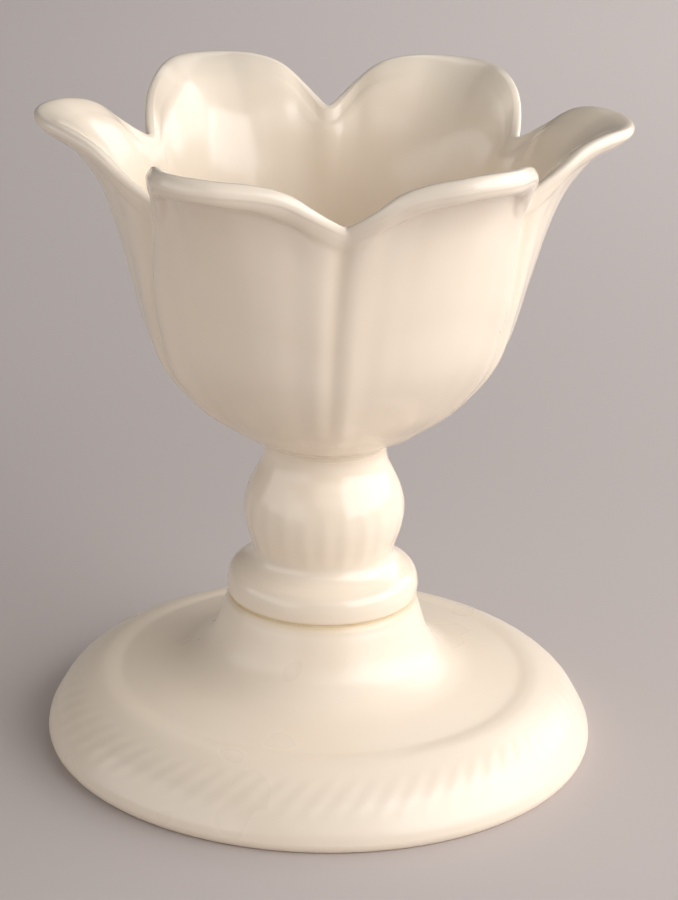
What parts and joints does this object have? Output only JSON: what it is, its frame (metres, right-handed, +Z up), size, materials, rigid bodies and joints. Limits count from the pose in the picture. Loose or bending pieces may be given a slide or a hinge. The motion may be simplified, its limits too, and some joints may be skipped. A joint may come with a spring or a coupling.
{
  "type": "compote dish",
  "caption": "Footed compote dish in cream-glazed earthenware: a flared petal-rim bowl on a short baluster stem and a domed round foot.",
  "frame": {"origin": "on the table, under the middle of the foot", "axes": "+Z up along the stem; -Y is the front, towards the camera of the picture, with a notch of the rim facing it; a petal points along +X and another along -X"},
  "size_m": [0.1396, 0.135, 0.1581],
  "materials": {
    "cream_glaze": "warm cream glaze with a soft gloss over earthenware, thinner and paler on edges",
    "pooled_glaze": "the same glaze pooled thicker and yellower in the joints between the castings"
  },
  "bodies": {
    "root": {"domed_foot": "cream_glaze", "foot_slip_joint": "pooled_glaze", "baluster_stem": "cream_glaze", "bowl_slip_joint": "pooled_glaze", "petal_bowl": "cream_glaze"}
  },
  "joints": []
}
